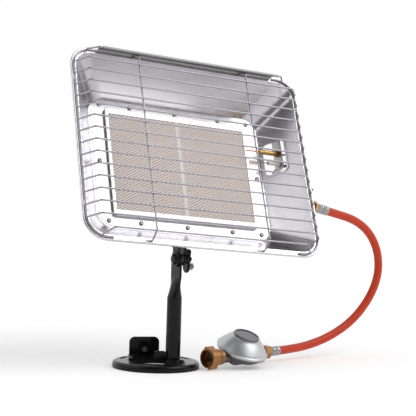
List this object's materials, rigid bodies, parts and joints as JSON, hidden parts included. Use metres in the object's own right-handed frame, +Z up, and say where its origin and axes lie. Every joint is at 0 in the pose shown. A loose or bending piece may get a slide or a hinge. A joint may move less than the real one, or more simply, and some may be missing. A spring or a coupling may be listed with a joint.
{
  "type": "gas radiant heater",
  "caption": "Tilting gas radiant burner head with a bright reflector pan and wire guard on a short pole and ring foot, with hose and regulator.",
  "frame": {"origin": "middle of the base ring on the floor", "axes": "+Z up, the burner faces -Y, the gas connection is on +X"},
  "size_m": [0.4487, 0.1729, 0.37],
  "materials": {
    "bright_pan": "bright pressed steel, polished inside",
    "frame_steel": "pressed sheet, satin",
    "box_steel": "pressed sheet, dull",
    "tile_ceramic": "unglazed, perforated",
    "seam_fibre": "fibre cement strip",
    "zinc_screw": "zinc plated",
    "wire_chrome": "bright plated wire",
    "visor_steel": "brushed sheet",
    "turned_brass": "turned",
    "black_enamel": "gloss black",
    "black_plastic": "moulded",
    "blue_plastic": "moulded",
    "white_ceramic": "glazed",
    "crimp_chrome": "bright plated",
    "cast_zinc": "die cast, satin",
    "lead_rubber": "insulated lead",
    "hose_rubber": "smooth, semi-gloss",
    "seal_rubber": "moulded ring"
  },
  "bodies": {
    "base": {"base_ring": "black_enamel", "foot_plate": "black_enamel", "foot_screws": "black_enamel", "clamp_bracket": "black_enamel", "clamp_rivets": "black_enamel", "pole": "black_enamel", "gas_hose": "hose_rubber", "regulator_body": "cast_zinc", "regulator_cover": "cast_zinc", "regulator_cap": "cast_zinc", "inlet_stem": "crimp_chrome", "inlet_seal": "seal_rubber", "regulator_hose_nut": "turned_brass", "regulator_hose_ferrule": "crimp_chrome"},
    "head": {"reflector_pan": "bright_pan", "burner_frame": "frame_steel", "burner_box": "box_steel", "ceramic_tile_left": "tile_ceramic", "ceramic_tile_right": "tile_ceramic", "tile_seam_strip": "seam_fibre", "tile_gasket": "seam_fibre", "frame_screws": "zinc_screw", "mixing_tube": "box_steel", "gas_injector": "turned_brass", "gas_pipe": "turned_brass", "valve_body": "turned_brass", "valve_nut": "turned_brass", "valve_bracket": "box_steel", "pilot_plate": "zinc_screw", "flame_sensor": "turned_brass", "spark_electrode": "white_ceramic", "spark_unit": "black_plastic", "spark_bracket": "box_steel", "ignition_lead": "lead_rubber", "sensor_lead": "lead_rubber", "guard_cross_wires": "wire_chrome", "guard_upright_wires": "wire_chrome", "guard_side_rods": "wire_chrome", "guard_visor": "visor_steel", "head_hose_nut": "turned_brass", "head_hose_ferrule": "crimp_chrome", "head_yoke": "black_enamel", "yoke_screws": "zinc_screw", "hinge_bolt": "black_enamel", "hinge_washer": "black_enamel", "hinge_bush": "zinc_screw"},
    "tilt_nut": {"wing_nut": "black_enamel", "wing_nut_pin": "zinc_screw"},
    "valve_press": {"valve_button": "blue_plastic"},
    "spark_press": {"spark_button": "black_plastic"},
    "inlet_nut": {"inlet_hand_nut": "turned_brass"},
    "neck_screw": {"clamp_screw": "zinc_screw"}
  },
  "joints": [
    {"name": "head_tilt", "type": "hinge", "parent": "base", "child": "head", "pos_m": [0.01545, -0.022, 0.127], "axis": [-1, 0, 0], "range_deg": [-36, 34], "deforming": ["gas_hose"]},
    {"name": "wing_nut_turn", "type": "hinge", "parent": "head", "child": "tilt_nut", "pos_m": [0.0262, -0.022, 0.127], "axis": [1, 0, 0], "continuous": true},
    {"name": "valve_push", "type": "slide", "parent": "head", "child": "valve_press", "axis": [0.0802, 0.437, 0.8959], "range_m": [0, 0.004], "stiffness_N_per_m": 1500, "springref_m": -0.002},
    {"name": "spark_push", "type": "slide", "parent": "head", "child": "spark_press", "axis": [0.0802, 0.437, 0.8959], "range_m": [0, 0.005], "stiffness_N_per_m": 900, "springref_m": -0.002},
    {"name": "hand_nut_turn", "type": "hinge", "parent": "base", "child": "inlet_nut", "pos_m": [0.05031, -0.04335, 0.01443], "axis": [0.9593, 0.2823, 0], "continuous": true},
    {"name": "clamp_screw_turn", "type": "hinge", "parent": "base", "child": "neck_screw", "pos_m": [0.0003, 0.032, 0.017], "axis": [0.2588, 0.9659, 0], "continuous": true}
  ]
}
